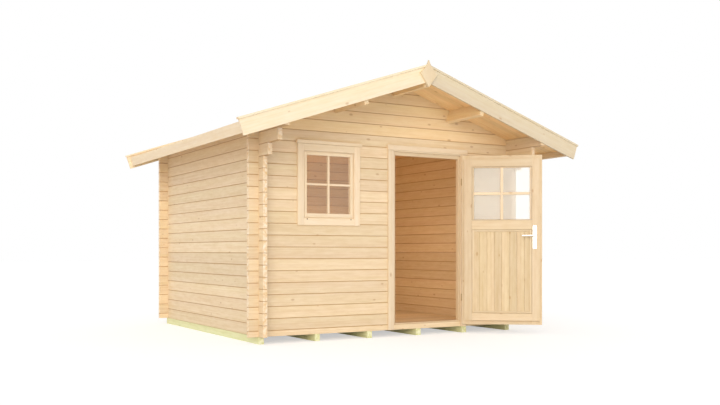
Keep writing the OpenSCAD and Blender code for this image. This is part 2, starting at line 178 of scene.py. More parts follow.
@dataclass(frozen=True)
class Pine:
    """Planed spruce or pine: pale, with long streaks, growth rings, small knots and blotched sawn ends."""

    name: str
    pale: str
    streak: str
    knot: str
    end: str
    grain: Grain
    torn: str = "#f9ead5"
    # Colour of the painted shade in the joints between logs
    joint: str = "#b98f5c"
    slope_deg: float = SLOPE_DEG
    end_facing: Pair = (0.75, 0.9)
    row_mm: float = 0.0
    row_start_mm: float = 0.0
    row_shift: Triple = (9.0, 0.4, 0.05)
    # Painted joint shade: where it starts and where it is full, in millimetres from a seam, and how strong it
    # is
    joint_shade_mm: Pair = (5.5, 1.5)
    joint_shade_depth: float = 0.8
    streak_mm: float = 24.0
    streak_long_mm: float = 900.0
    streak_span: Pair = (0.34, 0.68)
    streak_share: float = 0.45
    ring_mm: float = 7.0
    ring_stretch: float = 0.07
    ring_share: float = 0.3
    pith: Triple = (0.0, 0.004, 0.035)
    clouds_per_m: Triple = (7.0, 24.0, 24.0)
    cloud_span: Pair = (0.36, 0.66)
    cloud_share: float = 0.33
    patch_scale: float = 0.22
    patch_share: float = 0.35
    warmth: Pair = (0.487, 0.51)
    tone_range: float = 0.09
    knot_pitch_mm: float = 165.0
    knot_squeeze: Triple = (0.5, 1.0, 0.0)
    knot_size: Pair = (0.008, 0.06)
    knot_rim: Pair = (-0.03, 0.02)
    knot_share: float = 0.45
    knot_depth: float = 0.42
    rough: Pair = (0.52, 0.68)
    relief: float = 0.25
    relief_mm: float = 0.6
    gloss: float = 0.3
    seed: float = 0.0

    def _place(self, tree: Tree) -> tuple[Socket, Socket | None, Socket, Socket | None]:
        """Gives the pattern's place in metres, along, across and into the timber, with each piece's own tone.

        Args:
            tree: node tree of the material.

        Returns:
            Sockets for place, tone, end-grain share and share of the painted shade in a log joint, or None
            where there is none.
        """
        if self.grain is Grain.BOARD:
            place = put(tree, "Attribute", attribute_name="grain").outputs["Vector"]
            tone = put(tree, "Attribute", attribute_name="tone").outputs["Fac"]
            end = put(tree, "Attribute", attribute_name="end_grain").outputs["Fac"]
            return place, tone, end, None
        coords = put(tree, "TexCoord").outputs
        place, normal, tone = coords["Object"], coords["Normal"], None
        if self.grain is Grain.SLOPE:
            # Pieces right of the ridge take a darker tone than those left of it
            x = put(tree, "SeparateXYZ", {0: place}).outputs[0]
            tone = calc(tree, "LESS_THAN", x, 0.0)
            place, normal = (self._mirrored(tree, v) for v in (place, normal))
        place, normal = (self._along(tree, v) for v in (place, normal))
        facing = calc(tree, "ABSOLUTE", put(tree, "SeparateXYZ", {0: normal}).outputs[0])
        end = remap(tree, facing, self.end_facing)
        # Across and into the timber are both turned half way, so that every face of it shows the figure
        split = put(tree, "SeparateXYZ", {0: place}).outputs
        both = calc(tree, "ADD", split[1], split[2])
        rest = calc(tree, "SUBTRACT", split[1], split[2])
        place = put(tree, "CombineXYZ", {0: split[0], 1: both, 2: rest}).outputs[0]
        if not self.row_mm:
            return place, tone, end, None
        place, tone, joint = self._rows(tree, place, coords["Object"])
        return place, tone, end, joint

    def _rows(self, tree: Tree, place: Socket, house: Socket) -> tuple[Socket, Socket, Socket]:
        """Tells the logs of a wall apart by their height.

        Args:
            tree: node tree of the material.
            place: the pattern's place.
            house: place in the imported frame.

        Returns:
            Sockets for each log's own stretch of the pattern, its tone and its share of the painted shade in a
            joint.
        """
        height = put(tree, "SeparateXYZ", {0: house}).outputs[2]
        height = calc(tree, "SUBTRACT", height, self.row_start_mm * MM)
        rows = calc(tree, "DIVIDE", height, self.row_mm * MM)
        pick = calc(tree, "ADD", calc(tree, "FLOOR", rows), self.seed)
        chance = put(tree, "TexWhiteNoise", {"W": pick}, noise_dimensions="1D").outputs
        shift = calc_vector(tree, "MULTIPLY", chance["Color"], self.row_shift)
        place = calc_vector(tree, "ADD", place, shift)
        off = calc(tree, "SUBTRACT", calc(tree, "FRACT", rows), 0.5)
        far, near = (0.5 - edge / self.row_mm for edge in self.joint_shade_mm)
        return place, chance["Value"], remap(tree, calc(tree, "ABSOLUTE", off), (far, near))

    def _along(self, tree: Tree, way: Socket) -> Socket:
        """Turns a vector so that its first part lies along the fibres."""
        tilt = -math.radians(self.slope_deg) if self.grain is Grain.SLOPE else 0.0
        turned = put(tree, "VectorRotate", {"Vector": way, "Angle": tilt}, rotation_type="Y_AXIS").outputs[0]
        split = put(tree, "SeparateXYZ", {0: turned}).outputs
        first, second, third = {Grain.Y: (1, 2, 0), Grain.Z: (2, 0, 1)}.get(self.grain, (0, 2, 1))
        return put(tree, "CombineXYZ", {0: split[first], 1: split[second], 2: split[third]}).outputs[0]

    @staticmethod
    def _mirrored(tree: Tree, way: Socket) -> Socket:
        """Folds a vector over the ridge, so that both slopes take one pattern."""
        split = put(tree, "SeparateXYZ", {0: way}).outputs
        fold = calc(tree, "ABSOLUTE", split[0])
        return put(tree, "CombineXYZ", {0: fold, 1: split[1], 2: split[2]}).outputs[0]

    def _figure(self, tree: Tree, place: Socket) -> tuple[Socket, Socket, Socket]:
        """Draws what the planed wood shows apart from knots.

        Args:
            tree: node tree of the material.
            place: the pattern's place.

        Returns:
            Sockets for the whole figure, for its mottling alone and for broad patches.
        """
        # Long pale and honey streaks, drawn wider than real rings so that they show from ten metres
        thin = 1 / (self.streak_mm * MM)
        long = calc_vector(tree, "MULTIPLY", place, (1 / (self.streak_long_mm * MM), thin, thin))
        streaks = remap(tree, noise(tree, long, scale=1.0, detail=4.0, rough=0.62), self.streak_span)
        # Growth rings round a pith behind the face, which open into arches along the board
        squeeze = calc_vector(tree, "MULTIPLY", place, (self.ring_stretch, 1.0, 1.0))
        feeds = {
            "Vector": calc_vector(tree, "ADD", squeeze, self.pith),
            "Scale": WAVE_RING / (self.ring_mm * MM),
            "Distortion": 5.0,
            "Detail": 2.0,
            "Detail Scale": 0.35,
        }
        settings = {"wave_type": "RINGS", "rings_direction": "X", "wave_profile": "SAW"}
        rings = put(tree, "TexWave", feeds, **settings).outputs["Fac"]
        # Short cloudy mottling, a few thumbs long, which keeps a planed face from looking printed
        spread = calc_vector(tree, "MULTIPLY", place, self.clouds_per_m)
        clouds = remap(tree, noise(tree, spread, scale=1.0, detail=3.0, rough=0.6), self.cloud_span)
        figure = calc(tree, "MULTIPLY", rings, self.ring_share)
        figure = calc(tree, "MULTIPLY_ADD", clouds, self.cloud_share, figure)
        figure = calc(tree, "MULTIPLY_ADD", streaks, self.streak_share, figure)
        # Broad warm and cool patches a hand wide
        return figure, clouds, noise(tree, long, self.patch_scale, detail=1.0)

    def _knots(self, tree: Tree, place: Socket) -> Socket:
        """Draws small knots, which fade towards the rim, and leaves many places clear of them."""
        cells = calc_vector(tree, "MULTIPLY", place, self.knot_squeeze)
        feeds = {"Vector": cells, "Scale": 1 / (self.knot_pitch_mm * MM)}
        knots = put(tree, "TexVoronoi", feeds, voronoi_dimensions="2D").outputs
        luck = put(tree, "SeparateColor", {0: knots["Color"]}).outputs
        size = remap(tree, luck[1], to=self.knot_size)
        core = calc(tree, "SUBTRACT", size, knots["Distance"])
        core = remap(tree, core, self.knot_rim)
        return calc(tree, "MULTIPLY", core, calc(tree, "LESS_THAN", luck[0], self.knot_share))

    def make(self) -> bpy.types.Material:
        """Builds the material.

        Returns:
            The finished timber material.
        """
        material, tree, shader = blank(self.name)
        place, tone, end, joint = self._place(tree)
        figure, clouds, patch = self._figure(tree, place)
        colour = blend(tree, figure, linear(self.pale), linear(self.streak))
        tone = patch if tone is None else calc(tree, "MULTIPLY_ADD", patch, self.patch_share, tone)
        value = remap(tree, tone, to=(1 - self.tone_range, 1 + self.tone_range / 2))
        warmth = remap(tree, patch, to=self.warmth)
        colour = put(tree, "HueSaturation", {"Hue": warmth, "Value": value, "Color": colour}).outputs[0]
        knots = self._knots(tree, place)
        colour = blend(tree, calc(tree, "MULTIPLY", knots, self.knot_depth), colour, linear(self.knot))
        # Sawn ends are blotched, pale where the saw has torn the soft early wood
        sawn = blend(tree, clouds, linear(self.torn), linear(self.end))
        colour = blend(tree, end, colour, sawn)
        # Painted shade darkens the joints between the logs
        if joint is not None:
            shade = calc(tree, "MULTIPLY", joint, self.joint_shade_depth)
            colour = blend(tree, shade, colour, linear(self.joint))
        height = calc(tree, "SUBTRACT", figure, knots)
        feeds = {"Height": height, "Strength": self.relief, "Distance": self.relief_mm * MM}
        tree.links.new(colour, shader.inputs["Base Color"])
        tree.links.new(remap(tree, figure, to=self.rough), shader.inputs["Roughness"])
        tree.links.new(put(tree, "Bump", feeds).outputs[0], shader.inputs["Normal"])
        shader.inputs["Specular IOR Level"].default_value = self.gloss
        return material


@dataclass(frozen=True)
class Steel:
    """Drawn and brushed metal: fine streaks along the piece that spread the gloss."""

    name: str
    colour: str
    dull: str
    rough: float
    metal: float = 1.0
    streak_mm: float = 3.0
    streaks_per_m: float = 12.0
    rough_range: Pair = (-0.08, 0.1)

    def make(self) -> bpy.types.Material:
        """Builds the material.

        Returns:
            The finished metal material.
        """
        material, tree, shader = blank(self.name)
        # Brush marks run upright, drawn coarser than the real half millimetre so that they show
        thin = 1 / (self.streak_mm * MM)
        place = put(tree, "TexCoord").outputs["Object"]
        place = calc_vector(tree, "MULTIPLY", place, (thin, thin, self.streaks_per_m))
        marks = noise(tree, place, scale=1.0, detail=3.0)
        colour = blend(tree, marks, linear(self.colour), linear(self.dull))
        rough = remap(tree, marks, to=tuple(self.rough + r for r in self.rough_range))
        tree.links.new(colour, shader.inputs["Base Color"])
        tree.links.new(rough, shader.inputs["Roughness"])
        shader.inputs["Metallic"].default_value = self.metal
        return material


@dataclass(frozen=True)
class Glass:
    """Clear float glass: plain see-through panes with a faint green body, a pale veil of painted reflection and
    a little dust on the face.
    """

    name: str
    body: str
    painted_reflection: float
    refraction: float = 1.5
    dust_per_m: float = 9.0
    dust_span: Pair = (0.4, 0.8)
    dust_rough: float = 0.04

    def make(self) -> bpy.types.Material:
        """Builds the material.

        Returns:
            The finished glass material.
        """
        material, tree, shader = blank(self.name)
        dust = noise(tree, put(tree, "TexCoord").outputs["Object"], self.dust_per_m, detail=4.0)
        rough = remap(tree, dust, self.dust_span, (0.0, self.dust_rough))
        tree.links.new(rough, shader.inputs["Roughness"])
        shader.inputs["Base Color"].default_value = linear(self.body)
        # The pale alpha veil is painted reflection of the white surroundings
        shader.inputs["Alpha"].default_value = self.painted_reflection
        shader.inputs["IOR"].default_value = self.refraction
        return material


class Bench:
    """Modelling bench: adds a primitive, shapes it in edit mode and hands it on finished."""

    ROUND_SIDES = 24
    RIM_FACETS = 3
    RIM_OF_RISE = 0.4
    RIM_OF_RADIUS = 0.3
    SMOOTH_DEG = 40.0

    @staticmethod
    def clear() -> None:
        """Deselects every object."""
        bpy.ops.object.select_all(action="DESELECT")

    @staticmethod
    def hold(*objects: Piece) -> None:
        """Selects these objects alone and makes the first one active."""
        Bench.clear()
        for o in objects:
            o.select_set(True)
        bpy.context.view_layer.objects.active = objects[0]

    @staticmethod
    def block(name: str, low: Vector, high: Vector) -> Piece:
        """Saws a block between two corners.

        Args:
            name: the block's name.
            low: lowest corner in metres.
            high: highest corner in metres.

        Returns:
            The block, with its place in its mesh.
        """
        Bench.clear()
        bpy.ops.mesh.primitive_cube_add(size=1.0, location=(low + high) / 2, scale=high - low)
        block = bpy.context.object
        block.name = name
        bpy.ops.object.transform_apply(location=True, rotation=True, scale=True)
        return block

    @staticmethod
    def edges(block: Piece, wanted: Choice) -> None:
        """Opens a mesh for editing with some of its edges selected.

        Args:
            block: the piece.
            wanted: tells from an edge's middle and direction whether it is selected.
        """
        Bench.hold(block)
        mesh = block.data
        for item in (*mesh.vertices, *mesh.polygons):
            item.select = False
        for edge in mesh.edges:
            a, b = (mesh.vertices[i].co for i in edge.vertices)
            edge.select = wanted((a + b) / 2, (b - a).normalized())
        bpy.context.tool_settings.mesh_select_mode = (False, True, False)
        bpy.ops.object.mode_set(mode="EDIT")

    @staticmethod
    def ease(block: Piece, width: float, rounds: int = 2, wanted: Choice | None = None) -> None:
        """Planes the chosen edges round.

        Args:
            block: the piece.
            width: width of the rounding in metres.
            rounds: facets across it.
            wanted: picks edges by middle and direction; all of them if left out.
        """
        Bench.edges(block, wanted or (lambda middle, way: True))
        bpy.ops.mesh.bevel(offset=width, segments=rounds, affect="EDGES")
        bpy.ops.object.mode_set(mode="OBJECT")

    @staticmethod
    def saw(block: Piece, point: Vector, away: Vector) -> None:
        """Saws off what lies beyond a plane and closes the cut.

        Args:
            block: the piece.
            point: a point of the plane.
            away: the plane's normal, towards what is cut off.
        """
        Bench.hold(block)
        bpy.ops.object.mode_set(mode="EDIT")
        bpy.ops.mesh.select_all(action="SELECT")
        bpy.ops.mesh.bisect(plane_co=point, plane_no=away, use_fill=True, clear_outer=True)
        bpy.ops.object.mode_set(mode="OBJECT")

    @staticmethod
    def repeat(block: Piece, count: int, step: Vector) -> None:
        """Lays copies of a piece in a row."""
        Bench.hold(block)
        row = block.modifiers.new("row", "ARRAY")
        row.count = count
        row.use_relative_offset = False
        row.use_constant_offset = True
        row.constant_offset_displace = step
        bpy.ops.object.modifier_apply(modifier=row.name)

    @staticmethod
    def move(block: Piece, matrix: Matrix) -> None:
        """Moves a piece and sets its place in its mesh."""
        Bench.hold(block)
        block.matrix_world = matrix @ block.matrix_world
        bpy.ops.object.transform_apply(location=True, rotation=True, scale=True)

    @staticmethod
    def join(name: str, pieces: list[Piece]) -> Piece:
        """Joins pieces into one mesh."""
        Bench.hold(*pieces)
        if len(pieces) > 1:
            bpy.ops.object.join()
        pieces[0].name = name
        return pieces[0]

    @staticmethod
    def disc(name: str, foot: Vector, radius: float, rise: float, way: Vector) -> Piece:
        """Turns a round piece on its foot, with its outer rim rounded.

        Args:
            name: the piece's name.
            foot: middle of its foot.
            radius: its radius in metres.
            rise: its height in metres.
            way: direction from the foot to the top.

        Returns:
            The piece.
        """
        Bench.clear()
        turn = way.to_track_quat("Z", "Y").to_euler()
        centre = foot + way * rise / 2
        bpy.ops.mesh.primitive_cylinder_add(
            vertices=Bench.ROUND_SIDES, radius=radius, depth=rise, location=centre, rotation=turn
        )
        piece = bpy.context.object
        piece.name = name
        bpy.ops.object.transform_apply(location=True, rotation=True, scale=True)
        top = (foot + way * rise).dot(way)
        rim = min(Bench.RIM_OF_RISE * rise, Bench.RIM_OF_RADIUS * radius)
        Bench.ease(piece, rim, Bench.RIM_FACETS, lambda middle, line: abs(middle.dot(way) - top) < HAIR)
        Bench.hold(piece)
        bpy.ops.object.shade_smooth_by_angle(angle=math.radians(Bench.SMOOTH_DEG))
        return piece


@dataclass
class Studio:
    """White studio: a pale floor that keeps the shadow, soft light from the front left, and the camera."""

    floor_side: float = 120.0
    floor_drop_mm: float = 0.5
    paper: tuple[str, str] = ("#fafafa", "#fefefe")
    paper_seen: str = "#d0d0d0"
    paper_glow: float = 0.52
    paper_rough: float = 0.9
    fibres_per_m: float = 40.0
    sky: float = 0.72
    top: float = 0.25
    top_turn: Triple = (58.0, 0.0, -32.0)
    front: float = 1.9
    front_turn: Triple = (84.0, 0.0, -36.0)
    front_colour: str = "#fff0da"
    spread_deg: float = 50.0
    room_watts: float = 18.0
    room_colour: str = "#ffdeb2"
    room_radius: float = 0.6
    room_place: Triple = (-0.5, 0.2, 1.25)
    lens_mm: float = 43.4
    sensor_mm: float = 36.0
    eye: Triple = (-4.8423, -8.7540, 0.8923)
    turn_deg: float = -30.302
    rise: float = 0.0665

    def build(self) -> None:
        """Builds floor, world, lamps and camera."""
        self._floor()
        self._world()
        self._lamp("top_light", self.top, self.top_turn, WHITE)
        self._lamp("front_light", self.front, self.front_turn, self.front_colour)
        self._room_lamp()
        self._camera()
        bpy.context.scene.view_settings.view_transform = "Standard"

    def _floor(self) -> None:
        """Lays the floor, white paper that takes a soft shadow."""
        Bench.clear()
        bpy.ops.mesh.primitive_plane_add(size=self.floor_side, location=(0.0, 0.0, -self.floor_drop_mm * MM))
        floor = bpy.context.object
        floor.name = "studio_floor"
        paper, tree, shader = blank("white studio paper")
        fibres = noise(tree, put(tree, "TexCoord").outputs["Object"], self.fibres_per_m, detail=3.0)
        white = blend(tree, fibres, *(linear(colour) for colour in self.paper))
        # Half of what the eye sees is a plain glow, which takes lit paper to white and keeps the shadow soft
        seen = self._seen(tree)
        pale = blend(tree, seen, white, linear(self.paper_seen))
        tree.links.new(pale, shader.inputs["Base Color"])
        glow = calc(tree, "MULTIPLY", seen, self.paper_glow)
        tree.links.new(glow, shader.inputs["Emission Strength"])
        shader.inputs["Emission Color"].default_value = linear(WHITE)
        shader.inputs["Roughness"].default_value = self.paper_rough
        shader.inputs["Specular IOR Level"].default_value = 0.0
        floor.data.materials.append(paper)

    @staticmethod
    def _seen(tree: Tree) -> Socket:
        """Tells rays that are seen, straight, in metal or through glass, from those that light."""
        path = put(tree, "LightPath").outputs
        seen = calc(tree, "MAXIMUM", path["Is Camera Ray"], path["Is Glossy Ray"])
        return calc(tree, "MAXIMUM", seen, path["Is Transmission Ray"])

    def _world(self) -> None:
        """Sets an even sky that lights softly and shows as plain white."""
        world = bpy.data.worlds.new("white surround")
        bpy.context.scene.world = world
        world.use_nodes = True
        tree = world.node_tree
        tree.nodes.clear()
        seen = self._seen(tree)
        light = put(tree, "Background", {"Color": linear(WHITE), "Strength": self.sky}).outputs[0]
        plain = put(tree, "Background", {"Color": linear(WHITE), "Strength": 1.0}).outputs[0]
        both = put(tree, "MixShader", {0: seen, 1: light, 2: plain}).outputs[0]
        put(tree, "OutputWorld", {"Surface": both})

    def _lamp(self, name: str, strength: float, turn: Triple, colour: str) -> None:
        """Hangs one soft lamp far off.

        Args:
            name: the lamp's name.
            strength: light that it throws on a face square to it.
            turn: its turn about each axis, in degrees.
            colour: colour of its light.
        """
        Bench.clear()
        bpy.ops.object.light_add(type="SUN", rotation=[math.radians(t) for t in turn])
        lamp = bpy.context.object
        lamp.name = name
        lamp.data.energy = strength
        lamp.data.color = linear(colour)[:3]
        lamp.data.angle = math.radians(self.spread_deg)

    def _room_lamp(self) -> None:
        """Hangs a soft warm lamp in the room, as bright as daylight that comes in at the door."""
        Bench.clear()
        bpy.ops.object.light_add(type="POINT", radius=self.room_radius, location=self.room_place)
        lamp = bpy.context.object
        lamp.name = "room_light"
        lamp.data.energy = self.room_watts
        lamp.data.color = linear(self.room_colour)[:3]
        lamp.visible_camera = lamp.visible_glossy = lamp.visible_transmission = False

    def _camera(self) -> None:
        """Sets up the camera, level and low, off the house's left front corner."""
        Bench.clear()
        bpy.ops.object.camera_add(location=self.eye, rotation=(math.pi / 2, 0.0, math.radians(self.turn_deg)))
        camera = bpy.context.object
        camera.data.sensor_width = self.sensor_mm
        camera.data.lens = self.lens_mm
        camera.data.shift_y = self.rise
        bpy.context.scene.camera = camera


@dataclass
class Timberyard:
    """Chooses the finish of each solid that keeps its own shape."""

    frame: dict
    finishes: dict[str, bpy.types.Material] = field(default_factory=dict)

    def stock(self, name: str, finish: Pine | Steel | Glass) -> None:
        """Makes a finish and keeps it."""
        self.finishes[name] = finish.make()

    def dress(self, name: str, *nodes: str) -> None:
        """Gives solids a finish that is in stock."""
        for node in nodes:
            mesh = self.frame["nodes"][node].data
            mesh.materials.clear()
            mesh.materials.append(self.finishes[name])
            LOG.info("%s: %s", node, name)


@dataclass
class Site:
    """Where the house stands: sizes count in millimetres from its ridge line, front face and wall base."""

    front: float
    base: float

    def at(self, x: float, y: float, z: float) -> Vector:
        """Gives a point of the house, in metres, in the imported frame."""
        return Vector((x * MM, y * MM + self.front, z * MM + self.base))


@dataclass
class Lot:
    """A lot of sawn boards, each with its own stretch of figure and its own tone."""

    site: Site
    seed: int
    spread: Triple = (9.0, 3.0, 0.05)
    end_facing: float = 0.75
    luck: random.Random = field(init=False)

    def __post_init__(self) -> None:
        """Starts the lot's own row of chances."""
        self.luck = random.Random(self.seed)

    def mark(self, piece: Piece, along: Vector, across: Vector, pitch: float = 1e3) -> None:
        """Marks on a mesh how the fibres run, board by board.

        Args:
            piece: one board, or a row of boards.
            along: way of the fibres.
            across: way over the boards' width.
            pitch: distance from board to board, in metres.
        """
        mesh = piece.data
        deep = along.cross(across)
        first = min(v.co.dot(across) for v in mesh.vertices) - HAIR
        for layer, kind, domain in (
            ("grain", "FLOAT_VECTOR", "POINT"),
            ("tone", "FLOAT", "POINT"),
            ("end_grain", "FLOAT", "FACE"),
        ):
            mesh.attributes.new(layer, kind, domain)
        grain, tone, end = (mesh.attributes[layer].data for layer in ("grain", "tone", "end_grain"))
        drawn: dict[int, tuple[Vector, float]] = {}
        for n, v in enumerate(mesh.vertices):
            key = int((v.co.dot(across) - first) / pitch)
            if key not in drawn:
                shift = Vector([self.luck.uniform(0, most) for most in self.spread])
                drawn[key] = shift, self.luck.random()
            shift, value = drawn[key]
            into = v.co.dot(deep)
            grain[n].vector = shift + Vector((v.co.dot(along), v.co.dot(across) + into, into))
            tone[n].value = value
        for face in mesh.polygons:
            end[face.index].value = float(abs(face.normal.dot(along)) > self.end_facing)

    def board(self, name: str, low: Triple, high: Triple, grain: Grain, ease_mm: float) -> Piece:
        """Saws one board, planes its edges round and marks its fibres.

        Args:
            name: the board's name.
            low: lowest corner in millimetres of the house.
            high: highest corner in millimetres of the house.
            grain: way of the fibres.
            ease_mm: width of the rounded edges.

        Returns:
            The board.
        """
        board = Bench.block(name, self.site.at(*low), self.site.at(*high))
        Bench.ease(board, ease_mm * MM)
        level, upright = Vector((1, 0, 0)), Vector((0, 0, 1))
        self.mark(board, *((level, upright) if grain is Grain.X else (upright, level)))
        return board

    def ring(
        self, name: str, x: float, inner: Triple, outer: Triple, faces: Pair, ease_mm: float
    ) -> list[Piece]:
        """Makes two upright boards with two level ones between them.

        Args:
            name: name of the boards.
            x: middle of the ring.
            inner: the opening's half width, bottom and top.
            outer: half width, bottom and top over the boards.
            faces: front and back face.
            ease_mm: width of the rounded edges.

        Returns:
            The boards.
        """
        (hole, sill, head), (half, low, high), (front, back) = inner, outer, faces
        spans = (
            (x - half, low, x - hole, high, Grain.Z),
            (x + hole, low, x + half, high, Grain.Z),
            (x - hole, low, x + hole, sill, Grain.X),
            (x - hole, head, x + hole, high, Grain.X),
        )
        return [self.board(name, (a, front, b), (c, back, d), grain, ease_mm) for a, b, c, d, grain in spans]

    def cross(self, x: float, pane: Triple, width: float, faces: tuple[Pair, ...]) -> list[Piece]:
        """Makes crossed glazing bars on both faces of a pane.

        Args:
            x: middle of the pane.
            pane: its half width, bottom and top.
            width: width of a bar.
            faces: front and back of the bars, for each face of the pane.

        Returns:
            The bars.
        """
        side, low, high = pane
        half, mid = width / 2, (low + high) / 2
        bars = []
        for y0, y1 in faces:
            bars.append(self.board("bar", (x - half, y0, low), (x + half, y1, high), Grain.Z, ease_mm=3.0))
            for x0, x1 in ((x - side, x - half), (x + half, x + side)):
                ends = (x0, y0, mid - half), (x1, y1, mid + half)
                bars.append(self.board("bar", *ends, Grain.X, ease_mm=3.0))
        return bars


@dataclass
class Fitter:
    """Gives finished pieces their material, the body they move with and the solids they stand for."""

    yard: Timberyard

    def fit(
        self, piece: Piece, finish: str, slot: str, nodes: tuple[str, ...] = (), body: str = "house"
    ) -> None:
        """Fits one piece.

        Args:
            piece: the finished mesh.
            finish: name of a finish in stock.
            slot: the record's material slot; not used.
            nodes: solids that the piece stands for.
            body: body that it moves with.
        """
        piece.data.materials.clear()
        piece.data.materials.append(self.yard.finishes[finish])
        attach(piece, body)
        if nodes:
            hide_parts(*nodes)
        LOG.info("%s on %s: %d faces", piece.name, body, len(piece.data.polygons))


@dataclass
class RoofDeck:
    """Two slopes of tongued boards that run from ridge to eave, with V joints underneath."""

    lot: Lot
    fitter: Fitter
    slope_deg: float = SLOPE_DEG
    thick_mm: float = 20.0
    board_mm: float = 96.0
    joint_mm: float = 3.5
    gap_mm: float = 0.8
    ridge_over_mm: float = 30.0

    def build(self) -> None:
        """Builds both slopes."""
        for name, side in (("left", -1), ("right", 1)):
            self._slope(name, side)

    def _slope(self, name: str, side: int) -> None:
        """Lays one slope: a board, repeated, turned to the slope and sawn upright at the ridge."""
        low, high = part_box(f"roof_{name}")
        tilt = math.radians(self.slope_deg)
        half_gap = low.x if side > 0 else -high.x
        apex = high.z - self.thick_mm * MM / math.cos(tilt) + half_gap * math.tan(tilt)
        end = (apex - low.z) / math.sin(tilt)
        count = round((high.y - low.y) / (self.board_mm * MM))
        pitch = (high.y - low.y) / count
        near, far = sorted((-side * self.ridge_over_mm * MM, side * end))
        edge = low.y + pitch - self.gap_mm * MM
        board = Bench.block("roof_board", Vector((near, low.y, 0)), Vector((far, edge, self.thick_mm * MM)))
        joint = self.joint_mm * MM
        Bench.ease(board, joint, 1, lambda middle, way: abs(way.x) > STRAIGHT and middle.z < HAIR)
        Bench.repeat(board, count, Vector((0, pitch, 0)))
        Bench.move(board, Matrix.Translation((0, 0, apex)) @ Matrix.Rotation(side * tilt, 4, "Y"))
        Bench.saw(board, Vector((side * half_gap, 0, 0)), Vector((-side, 0, 0)))
        self.lot.mark(board, Vector((side * math.cos(tilt), 0, -math.sin(tilt))), Vector((0, 1, 0)), pitch)
        board.name = f"roof_boards_{name}"
        self.fitter.fit(board, "roof boards", "roof_pine", (f"roof_{name}",))


@dataclass
class FloorDeck:
    """Floor boards laid across the joists, with a fine V joint on top."""

    lot: Lot
    fitter: Fitter
    board_mm: float = 94.0
    joint_mm: float = 1.5
    gap_mm: float = 0.8

    def build(self) -> None:
        """Lays the floor."""
        low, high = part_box("floor")
        count = round((high.y - low.y) / (self.board_mm * MM))
        pitch = (high.y - low.y) / count
        board = Bench.block("floor_boards", low, Vector((high.x, low.y + pitch - self.gap_mm * MM, high.z)))
        top = high.z - HAIR
        joint = self.joint_mm * MM
        Bench.ease(board, joint, 1, lambda middle, way: abs(way.x) > STRAIGHT and middle.z > top)
        Bench.repeat(board, count, Vector((0, pitch, 0)))
        self.lot.mark(board, Vector((1, 0, 0)), Vector((0, 1, 0)), pitch)
        self.fitter.fit(board, "floor boards", "inside_pine", ("floor",))


@dataclass
class Window:
    """Fixed four-pane window: casing boards with a drip board, frame, sash and glazing bars."""

    lot: Lot
    fitter: Fitter
    x: float = -772.0
    casing: Triple = (281.5, 1137.0, 1796.0)
    casing_out: Triple = (349.5, 1069.0, 1864.0)
    casing_y: Pair = (-20.0, OFF_WALL)
    drip: Triple = (364.5, 1864.4, 1898.0)
    drip_y: Pair = (-40.0, OFF_WALL)
    frame: Triple = (272.5, 1146.0, 1787.0)
    frame_out: Triple = (321.5, 1083.4, 1880.6)
    frame_y: Pair = LOG_Y
    sash: Triple = (243.1, 1186.4, 1757.6)
    sash_out: Triple = (272.1, 1146.4, 1786.6)
    sash_y: Pair = (-5.0, 35.0)
    bar_w: float = 22.0
    bar_faces: tuple[Pair, Pair] = ((-1.0, 12.6), (17.4, 24.0))
    plug_x: Pair = (-1020.0, -530.0)
    plug_z: float = 1129.0
    plug_r: float = 5.5
    plug_rise: float = 1.6

    def build(self) -> None:
        """Builds the window's timber."""
        lot, fit, x = self.lot, self.fitter.fit, self.x
        boards = lot.ring("casing", x, self.casing, self.casing_out, self.casing_y, ease_mm=2.5)
        (half, low, high), (front, back) = self.drip, self.drip_y
        boards.append(lot.board("drip", (x - half, front, low), (x + half, back, high), Grain.X, ease_mm=4.0))
        fit(Bench.join("window_casing_boards", boards), "casings, with painted light on joinery", "trim_pine", ("window_casing",))
        # The frame, sash and bars take the paler casing finish: painted light over the shade in the window's
        # recess
        boards = lot.ring("frame", x, self.frame, self.frame_out, self.frame_y, ease_mm=1.0)
        fit(Bench.join("window_frame_boards", boards), "casings, with painted light on joinery", "joinery_pine", ("window_frame",))
        boards = lot.ring("sash", x, self.sash, self.sash_out, self.sash_y, ease_mm=3.0)
        boards += lot.cross(x, self.sash, self.bar_w, self.bar_faces)
        fit(Bench.join("window_sash_bars", boards), "casings, with painted light on joinery", "joinery_pine", ("window_sash",))
        fit(self._plugs(), "screws", "hinge_steel")

    def _plugs(self) -> Piece:
        """Makes the two small screw heads on the casing's lower board."""
        plugs = []
        for x in self.plug_x:
            place = self.lot.site.at(x, self.casing_y[0] - SEAM, self.plug_z)
            plugs.append(Bench.disc("plug", place, self.plug_r * MM, self.plug_rise * MM, Vector((0, -1, 0))))
        return Bench.join("window_screw_heads", plugs)


